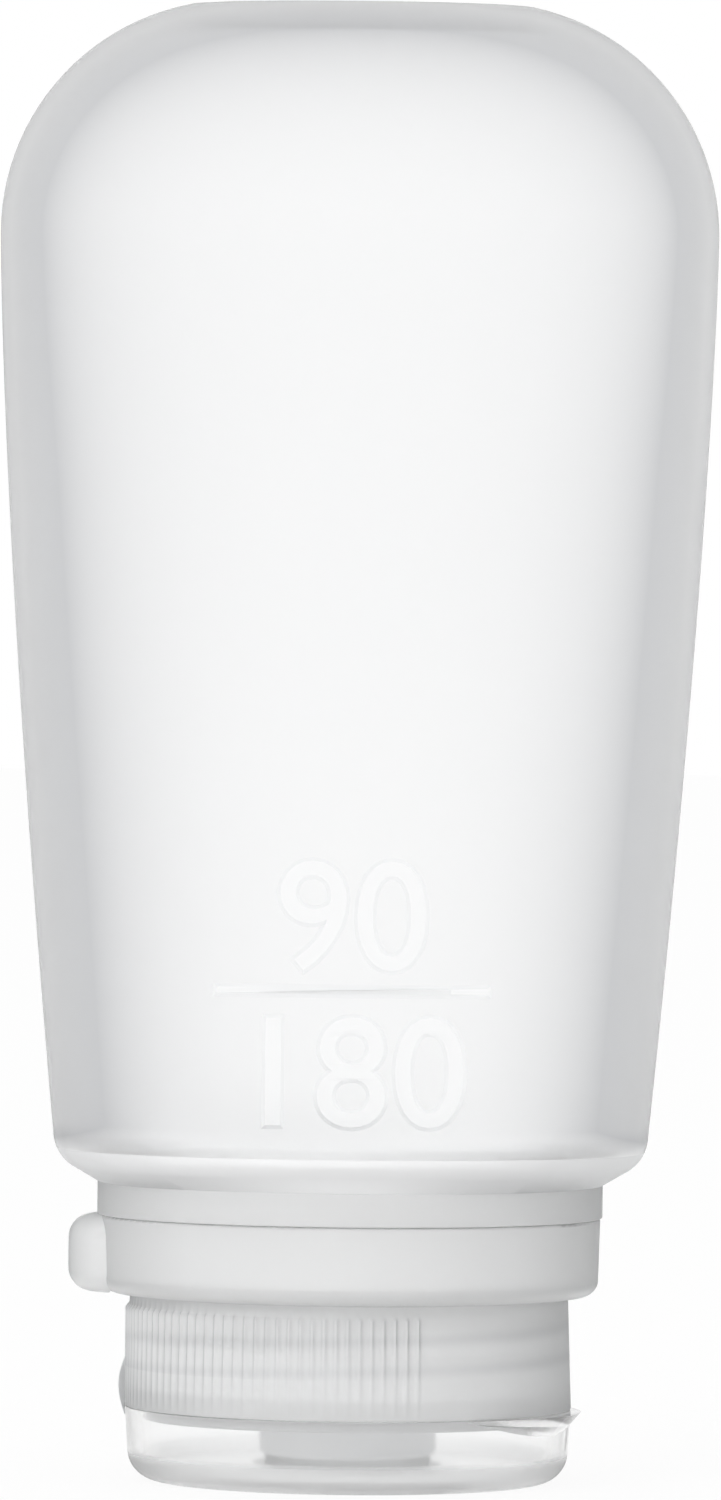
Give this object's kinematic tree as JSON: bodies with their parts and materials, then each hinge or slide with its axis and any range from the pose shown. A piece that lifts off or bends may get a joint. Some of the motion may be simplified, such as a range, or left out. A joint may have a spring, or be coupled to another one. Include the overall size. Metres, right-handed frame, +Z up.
{
  "type": "travel squeeze bottle",
  "caption": "Soft translucent silicone travel bottle that stands on a ribbed screw cap with a clear flip-top lid, a slit valve and a swivelling collar with a cord lug.",
  "frame": {"origin": "centre of the lid's flat resting face, which is the middle of the bounding box's bottom", "axes": "+Z up along the bottle's axis towards the closed end, +X to the right seen from the front, -Y to the front"},
  "size_m": [0.0718, 0.052, 0.1473],
  "materials": {
    "frosted_silicone": "frosted translucent",
    "white_silicone": "satin",
    "frosted_plastic": "frosted translucent",
    "clear_plastic": "clear gloss"
  },
  "bodies": {
    "bottle": {"silicone_body": "frosted_silicone", "neck_insert": "frosted_plastic", "clamp_ring": "frosted_plastic"},
    "collar": {"loop_collar": "frosted_plastic"},
    "seal": {"seal_washer": "white_silicone"},
    "cap": {"screw_cap": "frosted_plastic", "slit_valve": "white_silicone", "valve_retainer": "frosted_plastic", "hinge_strap": "clear_plastic"},
    "lid": {"flip_lid": "clear_plastic"}
  },
  "joints": [
    {"name": "collar_swivel", "type": "hinge", "parent": "bottle", "child": "collar", "pos_m": [0, 0, 0.0226], "axis": [0, 0, 1], "continuous": true},
    {"name": "cap_lift", "type": "slide", "parent": "bottle", "child": "seal", "axis": [0, 0, -1], "range_m": [0, 0.00376]},
    {"name": "cap_turn", "type": "hinge", "parent": "seal", "child": "cap", "pos_m": [0, 0, 0.013], "axis": [0, 0, -1], "range_deg": [0, 450]},
    {"name": "lid_flip", "type": "hinge", "parent": "cap", "child": "lid", "pos_m": [-0.02062, 0.00962, 0.00735], "axis": [0.4226, 0.9063, 0], "range_deg": [0, 135], "deforming": ["hinge_strap"]}
  ],
  "couplings": [
    {"joint": "cap_lift", "follows": "cap_turn", "m_per_rad": 0.00047746}
  ]
}
